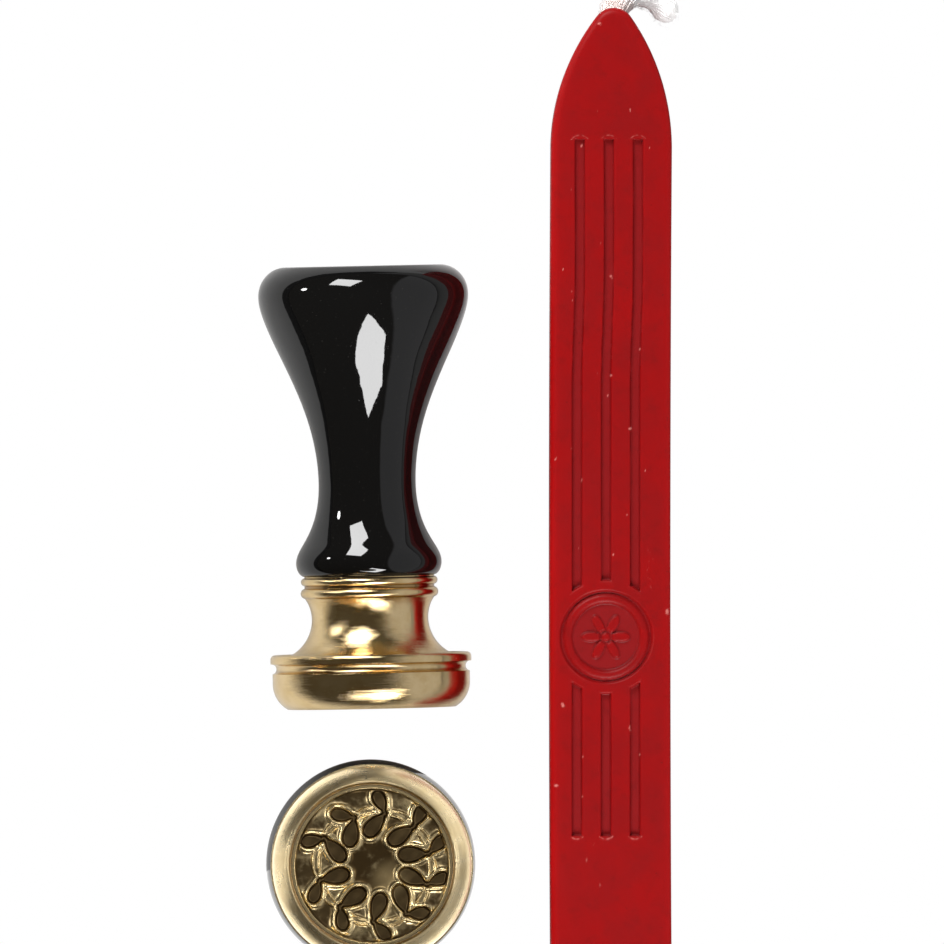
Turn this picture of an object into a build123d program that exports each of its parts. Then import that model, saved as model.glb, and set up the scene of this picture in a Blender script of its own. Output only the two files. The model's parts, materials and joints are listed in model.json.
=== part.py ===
from build123d import *
import os
from math import asin, cos, radians, sin, tan

# A sealing set laid out flat: two seal stamps, one lying on its side and one standing on its knob with
# its die up, and a stick of sealing wax with its wick. Millimetres, +Z up, everything rests on z = 0.
# A stamp is drawn from the flat end of its knob, at distance 0, along its axis to the face of its die.

# ---- turned handle, from the knob's end to the seat of the collar ----
knob_flat_radius = 7.7      # the flat end that a stamp stands on
knob_radius = 10.45         # widest ring of the knob
knob_height = 2.9           # flat end to the widest ring
taper_length = 18.7         # widest ring to the waist
waist_radius = 4.83
flare_length = 7.9          # waist to the bulge above the collar
bulge_radius = 7.24
bulge_drop = 1.35           # bulge to the flat seat of the collar
bulge_round = 0.9           # how far the bulge draws in to the seat
# points that the two curves pass, as shares of their length and of their change of radius
TAPER_SHAPE = ((0.134, 0.902), (0.348, 0.592), (0.668, 0.167))
FLARE_SHAPE = ((0.481, 0.245), (0.734, 0.639))

# ---- threaded insert pressed into the handle, and the stud that screws into it ----
stud_radius = 2.0           # 4 mm thread, its crests
thread_pitch = 0.7          # coarse pitch of a 4 mm thread
unscrew_turns = 5           # turns that free the head
insert_radius = 3.2
insert_length = 5.0
insert_mouth = 0.2          # chamfer that leads the stud in
bore_relief = 0.5           # drilled past the insert
drill_point_angle = 118     # degrees, the tip of the drill
running_clearance = 0.04    # stud to the bores that it turns in

# ---- turned collar between the handle and the head ----
collar_height = 8.5         # handle seat to the floor of the head's recess
spigot_radius = 4.5         # centres the collar in the handle
spigot_length = 0.9
spigot_clearance = 0.05     # all round the spigot and past its end
neck_radius = 6.45          # between the two beads
upper_bead_radius = 6.8
upper_bead_width = 0.8
lower_bead_radius = 6.85
lower_bead_width = 1.0
bead_land = 0.1             # handle seat to the upper bead
bead_gap = 0.25
cove_radius = 5.79          # narrowest ring of the cove
cove_depth = 1.9            # lower bead to that ring
foot_gap = 0.4              # foot to the inside of the head's lip
foot_edge = 0.55            # straight edge of the foot
FOOT_SHAPE = (0.74, 0.39)   # a point of the flare, as shares of its height and of its change of radius

# ---- engraved die pressed into the pocket of the head ----
die_radius = 7.97
die_thickness = 1.2
die_edge_width = 0.45       # raised edge ring
die_field_depth = 0.3       # field below the edge ring
die_clearance = 0.03
die_below_face = 0.5        # edge ring below the face of the head

# ---- turned head with its lip, groove and rounded rim ----
head_height = 4.65          # recess floor to the face
rim_bevel = 0.25            # bevel from the land down into the pocket
rim_land = 0.1              # narrow flat land of the face
rim_round = 1.47            # how far the arched rim draws in from the side of the body
body_straight = 1.0         # straight side of the body below the groove
groove_width = 1.0
groove_depth = 0.4
lip_overhang = 0.18         # lip outside the body
lip_width = 0.9
lip_rise = 0.8              # above the recess floor
lip_edge = 0.1              # straight edge of the lip below the recess floor
stud_seat_depth = 2.25      # stud screwed and soldered into the head

# ---- stick of sealing wax ----
stick_length = 100.0
stick_width = 12.05
stick_thickness = 10.0
stick_bow = 0.25            # sideways bow at mid length
stick_round = 0.7           # rounded upper edges
tip_length = 14.0           # pointed end
nose_half_width = 1.7
nose_length = 0.85
pattern_offset = -0.55      # the moulded pattern sits this far off the middle of the stick
line_width = 0.95
line_depth = 0.5
line_pitch = 2.89
lines_from_tip = 13.1       # tip to the upper end of the lines
lines_from_end = 17.6       # lower end of the lines to the end of the stick
roundel_from_tip = 62.6
roundel_margin = 0.88       # plain wax between the roundel's moat and the nearer side
moat_width = 0.4
moat_depth = 0.4
ring_width = 0.8            # raised ring inside the moat
roundel_floor_depth = 0.35
lines_margin = 1.05         # plain wax between the moat and the ends of the lines

# ---- cotton wick through the stick, with a short free tail ----
wick_radius = 1.5
wick_bend_radius = 3.4
wick_bend_from_tip = 1.85   # where the bend begins, below the tip of the wax
wick_turn = 135             # degrees that the tail turns through
wick_end_run = 1.0          # straight end after the bend
wick_floor_gap = 0.1        # tail above the table

# ---- how the three things lie, seen from above ----
stick_gap = 8.05            # stick to the knob of the lying stamp
knob_below_tip = 25.7       # tip of the stick to the knob's flat end, along the stick
lying_turn = 1.22           # degrees that the lying stamp is turned, die end towards the stick
stamp_gap = 5.11            # die of the lying stamp to the knob of the standing one
standing_offset = -0.07     # standing stamp's axis to the middle of the lying die
standing_turn = 0.0         # degrees about its own axis

# ---- distances along a stamp, from the flat end of the knob ----
waist_at = knob_height + taper_length
bulge_at = waist_at + flare_length
seat_at = bulge_at + bulge_drop
counterbore_at = seat_at - spigot_length - spigot_clearance
insert_at = counterbore_at - insert_length
bore_end_at = insert_at - bore_relief
recess_at = seat_at + collar_height
face_at = recess_at + head_height
pocket_at = face_at - die_below_face - die_thickness
engaged_length = unscrew_turns * thread_pitch
stud_tip_at = counterbore_at - engaged_length
stud_seat_at = recess_at + stud_seat_depth
cove_at = seat_at + bead_land + upper_bead_width + bead_gap + lower_bead_width + cove_depth
stud_bore_radius = stud_radius + running_clearance

# ---- radii that follow from the die outwards, and the roundel's from the stick's width ----
pocket_radius = die_radius + die_clearance
rim_land_inner = pocket_radius + rim_bevel
rim_land_outer = rim_land_inner + rim_land
body_radius = rim_land_outer + rim_round
lip_outer_radius = body_radius + lip_overhang
lip_inner_radius = lip_outer_radius - lip_width
foot_radius = lip_inner_radius - foot_gap
moat_outer_radius = stick_width / 2 - abs(pattern_offset) - roundel_margin
moat_inner_radius = moat_outer_radius - moat_width
roundel_floor_radius = moat_inner_radius - ring_width


def between(start, end, share):
    """The point a share of the way along each coordinate, given as (share of length, share of radius)."""
    length_share, radius_share = share
    return (
        end[0] + (start[0] - end[0]) * radius_share,
        start[1] + (end[1] - start[1]) * length_share,
    )


def turned(outline):
    """A solid turned about +Z from an outline of (radius, distance along the stamp)."""
    return revolve(Plane.XZ * make_face(outline), Axis.Z).solid()


def bead(radius, start, width):
    """A half-round bead on the collar's neck, from start over its width."""
    return ThreePointArc(
        (neck_radius, start), (radius, start + width / 2), (neck_radius, start + width)
    )


def make_handle():
    knob = (knob_radius, knob_height)
    waist = (waist_radius, waist_at)
    bulge = (bulge_radius, bulge_at)
    along = (0, 1)
    taper = Spline(
        knob, *(between(knob, waist, s) for s in TAPER_SHAPE), waist, tangents=(along, along)
    )
    flare_points = [between(waist, bulge, (s[0], 1 - s[1])) for s in FLARE_SHAPE]
    flare = Spline(waist, *flare_points, bulge, tangents=(along, along))
    knob_round = EllipticalCenterArc(
        (knob_flat_radius, knob_height), knob_radius - knob_flat_radius, knob_height, -90, arc_size=90
    )
    seat_round = EllipticalCenterArc(
        (bulge_radius - bulge_round, bulge_at), bulge_round, bulge_drop, 0, arc_size=90
    )
    drill_point = insert_radius / tan(radians(drill_point_angle / 2))
    bore = Polyline(
        (bulge_radius - bulge_round, seat_at),
        (spigot_radius + spigot_clearance, seat_at),
        (spigot_radius + spigot_clearance, counterbore_at),
        (insert_radius, counterbore_at),
        (insert_radius, bore_end_at),
        (0, bore_end_at - drill_point),
        (0, 0),
        (knob_flat_radius, 0),
    )
    return turned(knob_round + taper + flare + seat_round + bore)


def make_insert():
    return turned(
        Polyline(
            (stud_bore_radius, insert_at),
            (insert_radius, insert_at),
            (insert_radius, counterbore_at),
            (stud_bore_radius + insert_mouth, counterbore_at),
            (stud_bore_radius, counterbore_at - insert_mouth),
            close=True,
        )
    )


def make_collar():
    upper_bead_at = seat_at + bead_land
    neck_at = upper_bead_at + upper_bead_width
    lower_bead_at = neck_at + bead_gap
    cove_start = (neck_radius, lower_bead_at + lower_bead_width)
    cove = (cove_radius, cove_at)
    foot = (foot_radius, recess_at - foot_edge)
    along, outwards = (0, 1), (1, 0.12)
    flare_point = (
        cove_radius + (foot_radius - cove_radius) * FOOT_SHAPE[1],
        cove_at + (foot[1] - cove_at) * FOOT_SHAPE[0],
    )
    outline = Polyline(
        (stud_bore_radius, seat_at - spigot_length),
        (spigot_radius, seat_at - spigot_length),
        (spigot_radius, seat_at),
        (neck_radius, seat_at),
        (neck_radius, upper_bead_at),
    )
    outline += bead(upper_bead_radius, upper_bead_at, upper_bead_width)
    outline += Line((neck_radius, neck_at), (neck_radius, lower_bead_at))
    outline += bead(lower_bead_radius, lower_bead_at, lower_bead_width)
    outline += Spline(cove_start, cove, tangents=((-0.7, 0.7), along))
    outline += Spline(cove, flare_point, foot, tangents=(along, outwards))
    outline += Polyline(
        foot,
        (foot_radius, recess_at),
        (stud_bore_radius, recess_at),
        (stud_bore_radius, seat_at - spigot_length),
    )
    return turned(outline)


def make_head():
    lip_round = (lip_outer_radius - lip_inner_radius) / 2
    lip_top_at = recess_at - lip_rise
    groove_at = recess_at + lip_edge
    body_at = groove_at + groove_width
    corner_at = body_at + body_straight
    outline = Polyline(
        (stud_radius, stud_seat_at),
        (stud_radius, recess_at),
        (lip_inner_radius, recess_at),
        (lip_inner_radius, lip_top_at + lip_round),
    )
    outline += ThreePointArc(
        (lip_inner_radius, lip_top_at + lip_round),
        (lip_inner_radius + lip_round, lip_top_at),
        (lip_outer_radius, lip_top_at + lip_round),
    )
    outline += Line((lip_outer_radius, lip_top_at + lip_round), (lip_outer_radius, groove_at))
    outline += ThreePointArc(
        (lip_outer_radius, groove_at),
        (body_radius - groove_depth, groove_at + groove_width / 2),
        (body_radius, body_at),
    )
    outline += Line((body_radius, body_at), (body_radius, corner_at))
    outline += TangentArc(
        (body_radius, corner_at), (rim_land_outer, face_at), tangent=(0, 1)
    )
    outline += Polyline(
        (rim_land_outer, face_at),
        (rim_land_inner, face_at),
        (pocket_radius, face_at - rim_bevel),
        (pocket_radius, pocket_at),
        (0, pocket_at),
        (0, stud_seat_at),
        (stud_radius, stud_seat_at),
    )
    return turned(outline)


def make_die():
    top_at = pocket_at + die_thickness
    field_radius = die_radius - die_edge_width
    return turned(
        Polyline(
            (0, pocket_at),
            (die_radius, pocket_at),
            (die_radius, top_at),
            (field_radius + die_field_depth, top_at),
            (field_radius, top_at - die_field_depth),
            (0, top_at - die_field_depth),
            close=True,
        )
    )


def make_stud():
    tip_chamfer = thread_pitch / 2
    return turned(
        Polyline(
            (0, stud_tip_at),
            (stud_radius - tip_chamfer, stud_tip_at),
            (stud_radius, stud_tip_at + tip_chamfer),
            (stud_radius, stud_seat_at),
            (0, stud_seat_at),
            close=True,
        )
    )


def make_stamp():
    return {
        "handle": make_handle(),
        "insert": make_insert(),
        "collar": make_collar(),
        "head": make_head(),
        "die": make_die(),
        "stud": make_stud(),
    }


def lying_location():
    """The lying stamp rests on the widest rings of its knob and of its lip, so its axis dips to the die."""
    lip_at = recess_at + lip_edge
    dip = asin((knob_radius - lip_outer_radius) / (lip_at - knob_height))
    axis = Vector(
        sin(radians(lying_turn)) * cos(dip), -cos(radians(lying_turn)) * cos(dip), -sin(dip)
    )
    height = knob_radius * cos(dip) + knob_height * sin(dip)
    knob_x = -(stick_width / 2 + stick_bow + stick_gap + knob_radius)
    level = Vector(0, 0, 1).cross(axis)
    return Plane(origin=(knob_x, -knob_below_tip, height), x_dir=level, z_dir=axis).location


def standing_location(lying_face):
    """The standing stamp is past the middle of the lying stamp's die, on the same side of the stick."""
    x = lying_face.X + standing_offset
    y = lying_face.Y - stamp_gap - knob_radius
    return Pos(x, y, 0) * Rot(0, 0, standing_turn)


def wick_path():
    """The wick's line in the stick's frame, whose origin is under the tip, with the stick along -Y."""
    turn = radians(wick_turn)
    reach = wick_bend_radius * (1 - cos(turn)) + wick_end_run * sin(turn)
    core_height = stick_thickness / 2
    droop = asin((core_height - wick_radius - wick_floor_gap) / reach)
    bend_at = -wick_bend_from_tip
    tail_plane = Plane(
        origin=(0, bend_at, core_height),
        x_dir=(cos(droop), 0, -sin(droop)),
        z_dir=(sin(droop), 0, cos(droop)),
    )

    def on_bend(angle):
        return (wick_bend_radius * (1 - cos(angle)), wick_bend_radius * sin(angle))

    end_of_bend = on_bend(turn)
    end = (
        end_of_bend[0] + wick_end_run * sin(turn),
        end_of_bend[1] + wick_end_run * cos(turn),
    )
    tail = ThreePointArc((0, 0), on_bend(turn / 2), end_of_bend) + Line(end_of_bend, end)
    core = Line((0, -stick_length, core_height), (0, bend_at, core_height))
    return core + tail_plane * tail


def make_wick():
    path = wick_path()
    start = Plane(origin=path @ 0, z_dir=path % 0)
    return sweep(start * Circle(wick_radius), path=path).solid()


def stick_outline():
    """The stick seen from above, its tip at the origin and its length along -Y, bowed a little to -X."""
    half = stick_width / 2
    middle_y = -(stick_length + tip_length) / 2
    right = ThreePointArc((half, -stick_length), (half - stick_bow, middle_y), (half, -tip_length))
    left = ThreePointArc((-half, -tip_length), (-half - stick_bow, middle_y), (-half, -stick_length))
    right_ogive = TangentArc(
        (half, -tip_length), (nose_half_width, -nose_length), tangent=(0, 1)
    )
    left_ogive = TangentArc(
        (-half, -tip_length), (-nose_half_width, -nose_length), tangent=(0, 1)
    )
    nose = ThreePointArc(
        (nose_half_width, -nose_length), (0, 0), (-nose_half_width, -nose_length)
    )
    end = Line((-half, -stick_length), (half, -stick_length))
    return make_face(right + right_ogive + nose + left_ogive + left + end)


def moulded_pattern():
    """What the mould presses into the stick's upper face: three lines, broken by a ringed roundel."""
    top = Plane.XY.offset(stick_thickness)
    lines_length = stick_length - lines_from_end - lines_from_tip
    lines_middle = -(lines_from_tip + lines_length / 2)
    lines = Sketch()
    for step in (-1, 0, 1):
        lines += Pos(pattern_offset + step * line_pitch, lines_middle) * Rectangle(
            line_width, lines_length
        )
    roundel = Pos(pattern_offset, -roundel_from_tip)
    lines -= roundel * Circle(moat_outer_radius + lines_margin)
    moat = roundel * (Circle(moat_outer_radius) - Circle(moat_inner_radius))
    floor = roundel * Circle(roundel_floor_radius)
    return (
        extrude(top * lines, -line_depth)
        + extrude(top * moat, -moat_depth)
        + extrude(top * floor, -roundel_floor_depth)
    )


def make_wax(wick):
    blank = extrude(stick_outline(), stick_thickness)
    blank = fillet(blank.faces().sort_by(Axis.Z)[-1].edges(), stick_round)
    return (blank - moulded_pattern() - wick).solid()


stamp = make_stamp()
lying_place = lying_location()
standing_place = standing_location((lying_place * Pos(0, 0, face_at)).position)
wick = make_wick()

placed = {f"lying_{name}": lying_place * piece for name, piece in stamp.items()}
placed |= {f"standing_{name}": standing_place * piece for name, piece in stamp.items()}
placed["wax_body"] = make_wax(wick)
placed["wick"] = wick

# the set is drawn about the tip of the stick, and its origin is then under the middle of the whole set
boxes = [piece.bounding_box() for piece in placed.values()]
middle_x = (min(box.min.X for box in boxes) + max(box.max.X for box in boxes)) / 2
middle_y = (min(box.min.Y for box in boxes) + max(box.max.Y for box in boxes)) / 2
to_origin = Pos(-middle_x, -middle_y, 0)

os.makedirs("parts", exist_ok=True)
for name, piece in placed.items():
    export_step(to_origin * piece, f"parts/{name}.step")
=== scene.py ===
import json
from math import cos, pi, radians, sin, tan

import bmesh
import bpy
import numpy as np
from mathutils import Matrix, Vector


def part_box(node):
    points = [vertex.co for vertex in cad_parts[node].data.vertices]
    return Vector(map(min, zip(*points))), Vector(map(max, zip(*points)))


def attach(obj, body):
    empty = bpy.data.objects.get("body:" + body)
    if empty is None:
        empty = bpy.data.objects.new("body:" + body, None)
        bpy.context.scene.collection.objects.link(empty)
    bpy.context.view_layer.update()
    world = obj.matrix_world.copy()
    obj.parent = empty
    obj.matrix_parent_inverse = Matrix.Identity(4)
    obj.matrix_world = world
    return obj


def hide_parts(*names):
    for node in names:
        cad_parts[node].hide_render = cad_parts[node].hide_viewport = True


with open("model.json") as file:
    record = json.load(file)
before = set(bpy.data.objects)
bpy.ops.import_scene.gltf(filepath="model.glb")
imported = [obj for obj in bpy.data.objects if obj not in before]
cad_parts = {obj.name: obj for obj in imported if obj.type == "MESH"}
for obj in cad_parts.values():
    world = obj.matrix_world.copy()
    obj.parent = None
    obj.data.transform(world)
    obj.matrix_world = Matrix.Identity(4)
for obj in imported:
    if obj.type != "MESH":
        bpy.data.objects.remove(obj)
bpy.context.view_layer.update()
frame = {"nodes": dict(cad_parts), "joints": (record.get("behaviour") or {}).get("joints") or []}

# ---- Camera ----
# The set lies on a white table and is photographed from far above with a long lens, so that nothing is
# foreshortened. The lens hangs 4 m up, a little to the left of the middle and a little below it.
mm = 0.001
stick_half_width = 6.025  # millimetres, as all sizes of pieces below
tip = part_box("wax_body")[1] - Vector((stick_half_width * mm, 0, 10 * mm))  # under the stick's point
look_at = tip + Vector((-13.88, -46.20, 10)) * mm
seen_width = 93.93 * mm
eye_distance = 4.0
lean_up, lean_left = radians(-0.375), radians(0.286)

eye = look_at + eye_distance * Vector((-tan(lean_left), tan(lean_up), 1))
back = (eye - look_at).normalized()
right = Vector((0, 1, 0)).cross(back).normalized()
camera = bpy.data.objects.new("camera", bpy.data.cameras.new("camera"))
camera.matrix_world = Matrix.Translation(eye) @ Matrix((right, back.cross(right), back)).transposed().to_4x4()
camera.data.lens = camera.data.sensor_width * (eye - look_at).length / seen_width
camera.data.clip_end = 50
bpy.context.scene.collection.objects.link(camera)
bpy.context.scene.camera = camera
bpy.context.scene.view_settings.view_transform = "Standard"


# ---- Table and studio ----
# A sheet of white paper lies under the set on a white table. Two square softboxes hang past the top and
# the bottom of the picture, turned on their corners, and a small lamp stands low on the left. The stamp
# that stands on its knob has lamps, cards and sheets of its own, and one more lamp whitens the wick.
class Amount:
    """A number that changes over a surface. Sums, differences, products and quotients of amounts and
    plain numbers add the Math nodes that work them out."""

    def __init__(self, finish, socket):
        self.finish, self.socket = finish, socket

    def worked(self, operation, *values):
        return self.finish.node("Math", {"operation": operation}, dict(enumerate(values)))

    def __add__(self, other):
        return self.worked("ADD", self, other)

    def __sub__(self, other):
        return self.worked("SUBTRACT", self, other)

    def __rsub__(self, other):
        return self.worked("SUBTRACT", other, self)

    def __pow__(self, other):
        return self.worked("POWER", self, other)

    def __mul__(self, other):
        return self.worked("MULTIPLY", self, other)

    def __gt__(self, other):
        return self.worked("GREATER_THAN", self, other)

    def __abs__(self):
        return self.worked("ABSOLUTE", self)

    __radd__, __rmul__ = __add__, __mul__

    def larger(self, other):
        return self.worked("MAXIMUM", self, other)

    def rise(self, low, high):
        """0 below low, 1 above high, and a smooth step between them."""
        span = {"Value": self, "From Min": low, "From Max": high}
        return self.finish.node("MapRange", {"interpolation_type": "SMOOTHSTEP"}, span)


class Finish:
    """The nodes of one finish. node() adds a node of any type: its settings are set first, then each
    input gets a value or a link, and the output asked for comes back as an Amount."""

    def __init__(self, name, owner=None):
        self.owner = owner or bpy.data.materials.new(name)
        self.owner.use_nodes = True
        self.tree = self.owner.node_tree
        self.shader = self.tree.nodes.get("Principled BSDF")
        self.end = next(n for n in self.tree.nodes if n.type.startswith("OUTPUT"))

    def node(self, kind, settings=(), inputs=(), output=0):
        made = self.tree.nodes.new("ShaderNode" + kind)
        for key, value in dict(settings).items():
            setattr(made, key, value)
        for key, value in dict(inputs).items():
            self.give(made.inputs[key], value)
        return Amount(self, made.outputs[output])

    def give(self, socket, value):
        if isinstance(value, Amount):
            self.tree.links.new(value.socket, socket)
        else:
            socket.default_value = value

    def principled(self, **inputs):
        for key, value in inputs.items():
            self.give(self.shader.inputs[key.replace("_", " ")], value)

    def mix(self, share, first, second):
        """The first colour where share is 0, and the second where it is 1."""
        return self.node("Mix", {"data_type": "RGBA"}, {0: share, 6: first, 7: second}, 2)

    def noise(self, scale, detail=2.0, roughness=0.5, vector=None, output="Fac"):
        inputs = {"Scale": scale, "Detail": detail, "Roughness": roughness}
        if vector is not None:
            inputs["Vector"] = vector
        return self.node("TexNoise", {}, inputs, output)

    def bump(self, height, distance, strength=1.0):
        return self.node("Bump", {}, {"Height": height, "Distance": distance, "Strength": strength})


paper_reach, board_start = 105 * mm, 25 * mm  # from the middle of the picture
paper_colour, board_colour, beyond_colour = (0.62, 0.62, 0.62, 1), (0.28, 0.28, 0.28, 1), (0.03, 0.03, 0.03, 1)

table = Finish("white_table")
ground = table.node("TexCoord", {}, {}, "Object")
ground_x, ground_y = (
    table.node("SeparateXYZ", {}, {"Vector": ground}, axis) - middle
    for axis, middle in (("X", look_at.x), ("Y", look_at.y))
)
beyond = abs(ground_x).larger(abs(ground_y)) > paper_reach
past_paper = table.mix(ground_x > board_start, beyond_colour, board_colour)
on_paper = table.mix(ground_x > board_start, paper_colour, board_colour)
paper = table.node("BsdfDiffuse", {}, {"Color": table.mix(beyond, on_paper, past_paper)})
clear = table.node("Emission", {}, {"Color": (1, 1, 1, 1), "Strength": 1.0})
seen = table.node("LightPath", {}, {}, "Is Camera Ray")
table.give(table.end.inputs["Surface"], table.node("MixShader", {}, {0: seen, 1: paper, 2: clear}))

table_half = 1.5
table_mesh = bpy.data.meshes.new("table")
table_corners = [(x * table_half, y * table_half, 0) for x, y in ((-1, -1), (1, -1), (1, 1), (-1, 1))]
table_mesh.from_pydata(table_corners, [], [(0, 1, 2, 3)])
table_mesh.materials.append(table.owner)
table_top = bpy.data.objects.new("table", table_mesh)
bpy.context.scene.collection.objects.link(table_top)

# which things each lamp lights
lit = {key: bpy.data.collections.new(f"lit_as_{key}") for key in ("lying", "standing", "wick")}
lit["lying"].objects.link(table_top)

# a dim studio, with a grey wall on the right, shown to the camera as plain white
world = bpy.data.worlds.new("studio")
bpy.context.scene.world = world
studio = Finish("studio", world)
toward_wall = studio.node("SeparateXYZ", {}, {"Vector": studio.node("TexCoord", {}, {}, "Generated")}, "X")
dim = studio.node("Background", {}, {"Color": (0.070, 0.064, 0.054, 1)})
wall = studio.node("Background", {}, {"Color": (0.48, 0.48, 0.49, 1)})
room = studio.node("MixShader", {}, {0: toward_wall.rise(0.48, 0.54), 1: dim, 2: wall})
plain = studio.node("Background", {}, {"Color": (1, 1, 1, 1)})
shown = studio.node("LightPath", {}, {}, "Is Camera Ray")
studio.give(studio.end.inputs["Surface"], studio.node("MixShader", {}, {0: shown, 1: room, 2: plain}))


def away(across, along, distance):
    """The point at that distance from the middle of the set, where across and along are its angles from
    straight overhead, to the right and to the top of the picture."""
    return Vector((tan(radians(across)), tan(radians(along)), 1)).normalized() * distance


def hang_lamp(name, at, size, brightness, shape="SQUARE", lights="lying", turn=0, facing=None):
    """A lamp at a point out from the middle of the set, facing the middle or along a direction of its own.
    Its power is its brightness times pi times its area."""
    lamp = bpy.data.lights.new(name, "AREA")
    lamp.shape, lamp.size, lamp.size_y = shape, *size
    lamp.energy = brightness * pi * size[0] * size[1] * (pi / 4 if shape == "DISK" else 1)
    placed = bpy.data.objects.new(name, lamp)
    placed.matrix_world = (
        Matrix.Translation(look_at + at)
        @ (-facing if facing else at).to_track_quat("Z", "Y").to_matrix().to_4x4()
        @ Matrix.Rotation(radians(turn), 4, "Z")
    )
    placed.visible_camera = False
    placed.light_linking.receiver_collection = lit[lights]
    bpy.context.scene.collection.objects.link(placed)


hang_lamp("lower_softbox", away(9.5, -51, 0.55), (0.24, 0.24), 17, turn=45)
hang_lamp("upper_softbox", away(-28, 52, 0.55), (0.225, 0.225), 17, turn=45)
hang_lamp("side_lamp", away(-71, 50, 0.42), (0.05, 0.05), 32, "DISK")
hang_lamp("wick_lamp", away(12, 14, 0.5), (0.20, 0.20), 3.6, "DISK", "wick")
# the standing stamp: four small lamps round it, a dim one above, a card on either side, and bright sheets
# round its foot, which leave a gap at the upper left
foot = Vector((-9.7, -36.8, -9.8)) * mm
for side, across, along in (("right", 36, 0), ("left", -37, 0), ("top", 0, 33), ("bottom", 0, -41)):
    hang_lamp(f"{side}_ring_lamp", away(across, along, 0.5), (0.14, 0.14), 9.0, "DISK", "standing")
hang_lamp("overhead_lamp", away(-8, 14, 0.5), (0.30, 0.30), 0.45, "DISK", "standing")
hang_lamp("right_card", foot + Vector((0.14, 0.15, 0.03)), (0.32, 0.07), 1.5, "RECTANGLE", "standing")
hang_lamp("left_card", foot + Vector((-0.20, -0.01, 0.03)), (0.13, 0.07), 2.3, "RECTANGLE", "standing")
for side, left, right, low, high, brightness in (
    ("right", 5.5, 80, -80, 80, 1.15), ("bottom", -80, 5.5, -80, -3, 0.85),
    ("top", -80, 5.5, 14, 80, 1.0), ("left", -80, -14, -3, 14, 0.75),
):
    at = foot + Vector(((left + right) / 2, (low + high) / 2, 0)) * mm
    size = ((right - left) * mm, (high - low) * mm)
    hang_lamp(f"{side}_sheet", at, size, brightness, "RECTANGLE", "standing", facing=Vector((0, 0, 1)))


# ---- Handles ----
# Each stamp has a hardwood handle turned on a lathe: a knob, a long taper to the waist and a short bulge.
# It is dipped in black lacquer that dries to a mirror gloss, and a blind hole in its end takes the insert.
knob_flat_radius, knob_radius, knob_height = 7.7, 10.45, 2.9
waist_radius, waist_at = 4.83, 21.6
bulge_radius, bulge_at = 7.24, 29.5
bulge_round, bulge_drop = 0.9, 1.35
seat_at = bulge_at + bulge_drop
recess_at = seat_at + 8.5
spigot_hole_radius, counterbore_at = 4.55, seat_at - 0.95
insert_radius, bore_end_at, drill_tip_at = 3.2, 24.4, 22.48
broken_edge = 0.06  # how far a sharp edge off the lathe is eased


def flowing(points, leave=(0, 1), reach=(0, 1), steps=22):
    """A curve through the points: cubic pieces that agree in slope and curvature where they meet, leaving
    the first point along one direction and reaching the last along the other."""
    p = np.array(points, float)
    span = np.hypot(*np.diff(p, axis=0).T)[:, None]
    system, target = np.eye(len(p)), np.zeros((len(p), 2))
    target[0], target[-1] = (np.array(d) / np.hypot(*d) for d in (leave, reach))
    inner = np.arange(1, len(p) - 1)
    system[inner, inner - 1], system[inner, inner + 1] = span[1:, 0], span[:-1, 0]
    system[inner, inner] = 2 * (span[:-1, 0] + span[1:, 0])
    chord = np.diff(p, axis=0) / span
    target[inner] = 3 * (span[1:] * chord[:-1] + span[:-1] * chord[1:])
    slope = np.linalg.solve(system, target)
    u = np.linspace(0, 1, steps, endpoint=False)[None, :, None]
    start, end = p[:-1, None], p[1:, None]
    out, into = (span * slope[:-1])[:, None], (span * slope[1:])[:, None]
    curve = (
        start * (1 + 2 * u) * (1 - u) ** 2
        + out * u * (1 - u) ** 2
        + end * u**2 * (3 - 2 * u)
        + into * u**2 * (u - 1)
    )
    return np.vstack([curve.reshape(-1, 2), p[-1:]])


def rounded(centre, radii, start, end, steps=20):
    """An arc of an ellipse: centre + radii times (cosine, sine) of an angle that runs from start to end."""
    angle = np.radians(np.linspace(start, end, steps))
    return np.column_stack([centre[0] + radii[0] * np.cos(angle), centre[1] + radii[1] * np.sin(angle)])


def eased(profile, ease, loop=False, corner=22):
    """The profile with its sharp corners eased as a lathe tool or polishing leaves them: each becomes a
    parabola that starts and ends one ease from the corner, with one more point either side on the flat."""
    p = np.array(profile, float)
    p = p[np.r_[True, np.hypot(*np.diff(p, axis=0).T) > 1e-6]]
    to_next = np.roll(p, -1, 0) - p
    length = np.hypot(*to_next.T)[:, None] + 1e-12
    out, into = to_next / length, np.roll(to_next / length, 1, 0)
    turning = np.degrees(np.arccos(np.clip((out * into).sum(1), -1, 1)))[:, None]
    cut = np.where(turning > corner, np.minimum(ease, 0.22 * np.minimum(length, np.roll(length, 1, 0))), 0)
    if not loop:
        cut[0] = cut[-1] = 0
    before, after = p - into * cut, p + out * cut
    rings = [p - 2 * into * cut]
    rings += [before * (1 - u) ** 2 + 2 * p * u * (1 - u) + after * u**2 for u in np.linspace(0, 1, 5)]
    rings += [p + 2 * out * cut]
    all_points = np.stack(rings, 1).reshape(-1, 2)
    gap = np.hypot(*(all_points - np.roll(all_points, 1, 0)).T)
    gap[0] = gap[0] if loop else 1
    return all_points[gap > 1e-6]


def grid_faces(rows, columns, round_rows=False, round_columns=False):
    """The quads of a grid of points. They face outwards where rows go up and columns go round by the
    right hand."""
    row = np.arange(rows if round_rows else rows - 1)[:, None]
    column = np.arange(columns if round_columns else columns - 1)[None, :]
    above, beside = (row + 1) % rows * columns, (column + 1) % columns
    corners = (row * columns + column, row * columns + beside, above + beside, above + column)
    return np.stack(corners, -1).reshape(-1, 4)


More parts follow.
